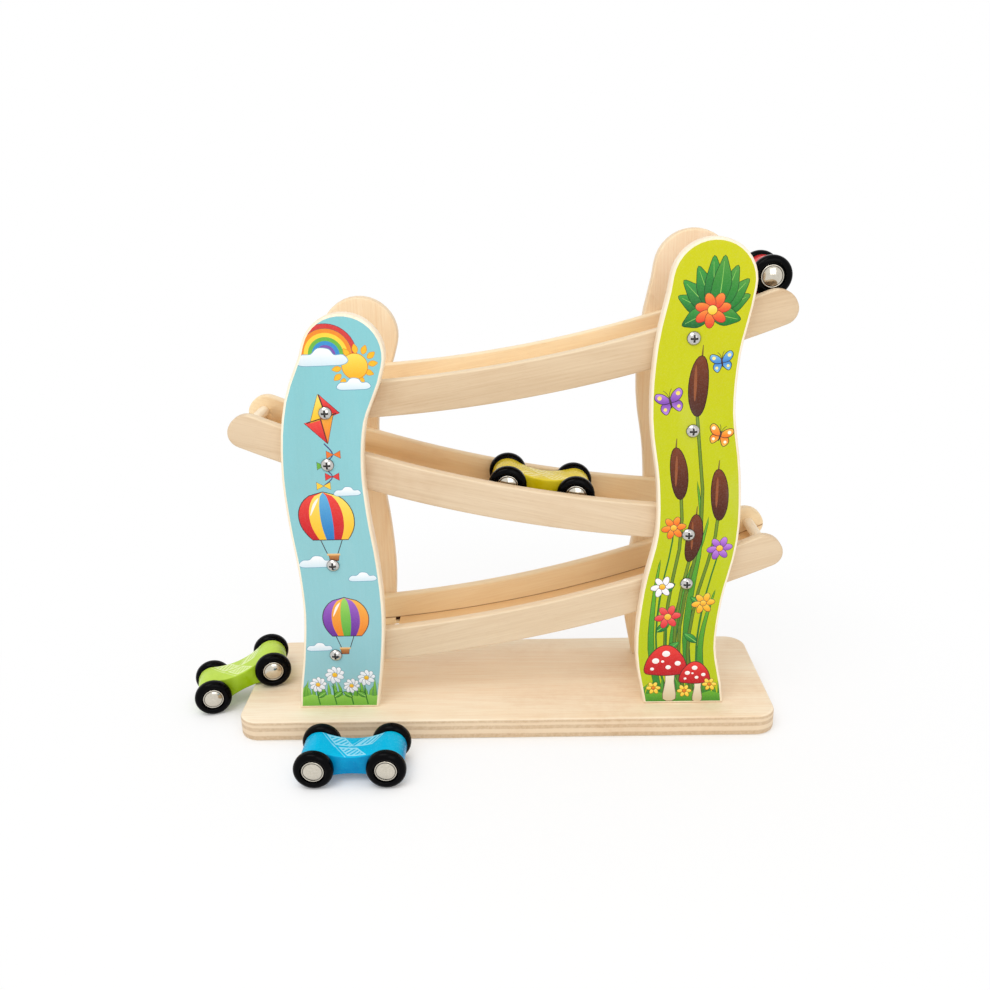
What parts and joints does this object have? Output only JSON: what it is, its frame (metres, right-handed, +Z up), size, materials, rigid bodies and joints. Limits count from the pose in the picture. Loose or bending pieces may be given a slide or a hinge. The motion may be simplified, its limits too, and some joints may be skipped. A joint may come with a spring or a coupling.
{
  "type": "click clack track toy",
  "caption": "Wooden ramp racer: curved ramps zigzag between wavy uprights on a flat base, and small cars roll down them and drop from each ramp to the next.",
  "frame": {"origin": "centre of the base board's underside", "axes": "+X to the right of the printed front, along the base board; +Y away from the viewer; +Z up"},
  "size_m": [0.3406, 0.1411, 0.2668],
  "materials": {
    "base_plywood": "sanded plywood, clear matt lacquer, layers show at the edges",
    "pale_wood": "sanded pale wood, clear matt lacquer",
    "short_upright_print": null,
    "tall_upright_print": null,
    "steel_screws": "bright zinc plated",
    "steel_rods": "bright drawn wire",
    "black_wheels": "smooth black, glossy",
    "chrome_caps": "polished chrome plate",
    "red_car_lacquer": "gloss red lacquer on wood",
    "yellow_car_lacquer": "gloss yellow lacquer on wood",
    "blue_car_lacquer": "gloss blue lacquer on wood",
    "green_car_lacquer": "gloss lime green lacquer on wood"
  },
  "bodies": {
    "track": {"base_board": "base_plywood", "base_screws": "steel_screws", "front_short_upright": "short_upright_print", "rear_short_upright": "pale_wood", "front_tall_upright": "tall_upright_print", "rear_tall_upright": "pale_wood", "short_spacer_dowel": "pale_wood", "tall_spacer_dowel": "pale_wood", "front_short_upright_screws": "steel_screws", "rear_short_upright_screws": "steel_screws", "front_tall_upright_screws": "steel_screws", "rear_tall_upright_screws": "steel_screws", "top_ramp_front_rail": "pale_wood", "top_ramp_rear_rail": "pale_wood", "top_ramp_floor": "pale_wood", "top_ramp_stop_dowel": "pale_wood", "middle_ramp_front_rail": "pale_wood", "middle_ramp_rear_rail": "pale_wood", "middle_ramp_floor": "pale_wood", "middle_ramp_stop_dowel": "pale_wood", "bottom_ramp_front_rail": "pale_wood", "bottom_ramp_rear_rail": "pale_wood", "bottom_ramp_floor": "pale_wood", "bottom_ramp_stop_dowel": "pale_wood"},
    "red_car_front_axle": {"red_car_front_axle_rod": "steel_rods", "red_car_front_hub_caps": "chrome_caps"},
    "red_car": {"red_car_body": "red_car_lacquer", "red_car_rear_axle_rod": "steel_rods", "red_car_rear_hub_caps": "chrome_caps"},
    "red_car_front_left_wheel": {"red_car_front_left_wheel": "black_wheels"},
    "red_car_front_right_wheel": {"red_car_front_right_wheel": "black_wheels"},
    "red_car_rear_left_wheel": {"red_car_rear_left_wheel": "black_wheels"},
    "red_car_rear_right_wheel": {"red_car_rear_right_wheel": "black_wheels"},
    "yellow_car": {"yellow_car_body": "yellow_car_lacquer", "yellow_car_front_axle_rod": "steel_rods", "yellow_car_rear_axle_rod": "steel_rods", "yellow_car_front_hub_caps": "chrome_caps", "yellow_car_rear_hub_caps": "chrome_caps"},
    "yellow_car_front_left_wheel": {"yellow_car_front_left_wheel": "black_wheels"},
    "yellow_car_front_right_wheel": {"yellow_car_front_right_wheel": "black_wheels"},
    "yellow_car_rear_left_wheel": {"yellow_car_rear_left_wheel": "black_wheels"},
    "yellow_car_rear_right_wheel": {"yellow_car_rear_right_wheel": "black_wheels"},
    "blue_car": {"blue_car_body": "blue_car_lacquer", "blue_car_front_axle_rod": "steel_rods", "blue_car_rear_axle_rod": "steel_rods", "blue_car_front_hub_caps": "chrome_caps", "blue_car_rear_hub_caps": "chrome_caps"},
    "blue_car_front_left_wheel": {"blue_car_front_left_wheel": "black_wheels"},
    "blue_car_front_right_wheel": {"blue_car_front_right_wheel": "black_wheels"},
    "blue_car_rear_left_wheel": {"blue_car_rear_left_wheel": "black_wheels"},
    "blue_car_rear_right_wheel": {"blue_car_rear_right_wheel": "black_wheels"},
    "green_car": {"green_car_body": "green_car_lacquer", "green_car_front_axle_rod": "steel_rods", "green_car_rear_axle_rod": "steel_rods", "green_car_front_hub_caps": "chrome_caps", "green_car_rear_hub_caps": "chrome_caps"},
    "green_car_front_left_wheel": {"green_car_front_left_wheel": "black_wheels"},
    "green_car_front_right_wheel": {"green_car_front_right_wheel": "black_wheels"},
    "green_car_rear_left_wheel": {"green_car_rear_left_wheel": "black_wheels"},
    "green_car_rear_right_wheel": {"green_car_rear_right_wheel": "black_wheels"}
  },
  "joints": [
    {"name": "red_car_travel", "type": "hinge", "parent": "track", "child": "red_car_front_axle", "pos_m": [-0.104, 0, 0.897], "axis": [0, 1, 0], "range_deg": [0, 14.4]},
    {"name": "red_car_tilt", "type": "hinge", "parent": "red_car_front_axle", "child": "red_car", "pos_m": [0.10686, 0.0016, 0.22595], "axis": [0, 1, 0], "range_deg": [0, 11.6]},
    {"name": "yellow_car_travel", "type": "hinge", "parent": "track", "child": "yellow_car", "pos_m": [0.145, 0, 0.82554], "axis": [0, -1, 0], "range_deg": [-10.5, 2.6]},
    {"name": "blue_car_roll", "type": "slide", "parent": "track", "child": "blue_car", "axis": [1, 0, 0], "range_m": [-0.04, 0.1]},
    {"name": "green_car_lift", "type": "slide", "parent": "track", "child": "green_car", "axis": [0, 0, 1], "range_m": [0, 0.06]},
    {"name": "red_car_front_left_wheel_spin", "type": "hinge", "parent": "red_car_front_axle", "child": "red_car_front_left_wheel", "pos_m": [0.10686, 0.0016, 0.22595], "axis": [0, -1, 0], "continuous": true},
    {"name": "red_car_front_right_wheel_spin", "type": "hinge", "parent": "red_car_front_axle", "child": "red_car_front_right_wheel", "pos_m": [0.10686, 0.0016, 0.22595], "axis": [0, -1, 0], "continuous": true},
    {"name": "red_car_rear_left_wheel_spin", "type": "hinge", "parent": "red_car", "child": "red_car_rear_left_wheel", "pos_m": [0.13917, 0.0016, 0.24518], "axis": [0, -1, 0], "continuous": true},
    {"name": "red_car_rear_right_wheel_spin", "type": "hinge", "parent": "red_car", "child": "red_car_rear_right_wheel", "pos_m": [0.13917, 0.0016, 0.24518], "axis": [0, -1, 0], "continuous": true},
    {"name": "yellow_car_front_left_wheel_spin", "type": "hinge", "parent": "yellow_car", "child": "yellow_car_front_left_wheel", "pos_m": [0.04074, 0.0016, 0.12991], "axis": [0, 1, 0], "continuous": true},
    {"name": "yellow_car_front_right_wheel_spin", "type": "hinge", "parent": "yellow_car", "child": "yellow_car_front_right_wheel", "pos_m": [0.04074, 0.0016, 0.12991], "axis": [0, 1, 0], "continuous": true},
    {"name": "yellow_car_rear_left_wheel_spin", "type": "hinge", "parent": "yellow_car", "child": "yellow_car_rear_left_wheel", "pos_m": [0.00372, 0.0016, 0.13647], "axis": [0, 1, 0], "continuous": true},
    {"name": "yellow_car_rear_right_wheel_spin", "type": "hinge", "parent": "yellow_car", "child": "yellow_car_rear_right_wheel", "pos_m": [0.00372, 0.0016, 0.13647], "axis": [0, 1, 0], "continuous": true},
    {"name": "blue_car_front_left_wheel_spin", "type": "hinge", "parent": "blue_car", "child": "blue_car_front_left_wheel", "pos_m": [-0.0985, -0.07705, 0.0105], "axis": [0, -1, 0], "continuous": true},
    {"name": "blue_car_front_right_wheel_spin", "type": "hinge", "parent": "blue_car", "child": "blue_car_front_right_wheel", "pos_m": [-0.0985, -0.07705, 0.0105], "axis": [0, -1, 0], "continuous": true},
    {"name": "blue_car_rear_left_wheel_spin", "type": "hinge", "parent": "blue_car", "child": "blue_car_rear_left_wheel", "pos_m": [-0.0609, -0.07705, 0.0105], "axis": [0, -1, 0], "continuous": true},
    {"name": "blue_car_rear_right_wheel_spin", "type": "hinge", "parent": "blue_car", "child": "blue_car_rear_right_wheel", "pos_m": [-0.0609, -0.07705, 0.0105], "axis": [0, -1, 0], "continuous": true},
    {"name": "green_car_front_left_wheel_spin", "type": "hinge", "parent": "green_car", "child": "green_car_front_left_wheel", "pos_m": [-0.17488, -0.0052, 0.0105], "axis": [0.2756, -0.9613, 0], "continuous": true},
    {"name": "green_car_front_right_wheel_spin", "type": "hinge", "parent": "green_car", "child": "green_car_front_right_wheel", "pos_m": [-0.17488, -0.0052, 0.0105], "axis": [0.2756, -0.9613, 0], "continuous": true},
    {"name": "green_car_rear_left_wheel_spin", "type": "hinge", "parent": "green_car", "child": "green_car_rear_left_wheel", "pos_m": [-0.14072, 0.0046, 0.0228], "axis": [0.2756, -0.9613, 0], "continuous": true},
    {"name": "green_car_rear_right_wheel_spin", "type": "hinge", "parent": "green_car", "child": "green_car_rear_right_wheel", "pos_m": [-0.14072, 0.0046, 0.0228], "axis": [0.2756, -0.9613, 0], "continuous": true}
  ],
  "couplings": [
    {"joint": "red_car_tilt", "follows": "red_car_travel", "ratio": 0.8}
  ]
}
